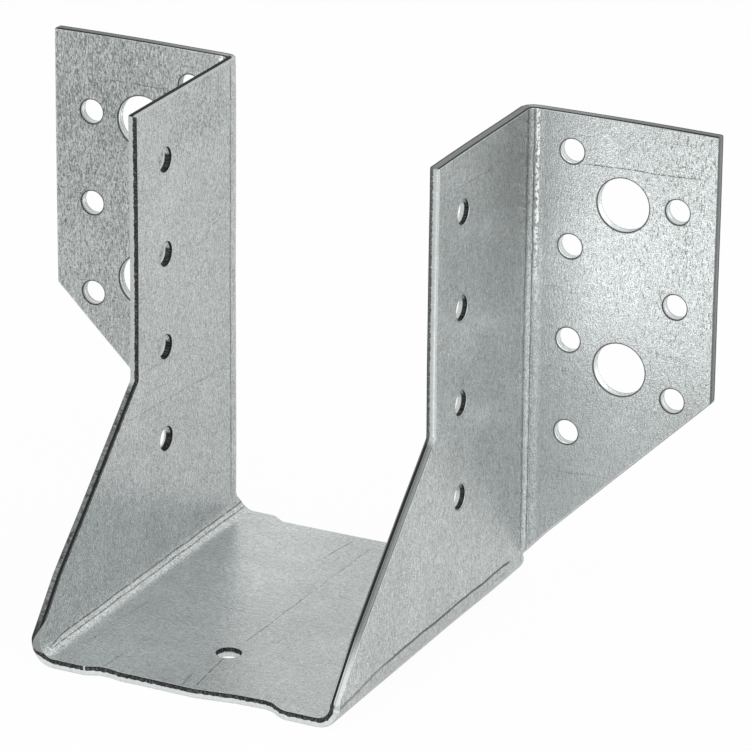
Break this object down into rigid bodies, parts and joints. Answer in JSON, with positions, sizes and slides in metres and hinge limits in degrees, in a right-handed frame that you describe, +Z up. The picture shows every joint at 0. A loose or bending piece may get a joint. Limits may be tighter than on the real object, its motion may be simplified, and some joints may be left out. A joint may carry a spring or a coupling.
{
  "type": "joist hanger",
  "caption": "Folded sheet-steel joist hanger: a U-shaped pocket with a flat seat and two side walls, and two flanges turned outwards with nail and bolt holes.",
  "frame": {"origin": "on the seat's top face, at the back edge's middle: x = 0 on the centreline, y = 0 in the plane of the flanges' back faces, z = 0 on the seat's top face", "axes": "+X to the right flange seen from the joist, +Y into the header, +Z up; the joist comes in from -Y"},
  "size_m": [0.149, 0.085, 0.102],
  "materials": {
    "galvanised_steel": "satin galvanised sheet with a fine rolling grain and bare cut edges"
  },
  "bodies": {
    "root": {"hanger": "galvanised_steel"}
  },
  "joints": []
}
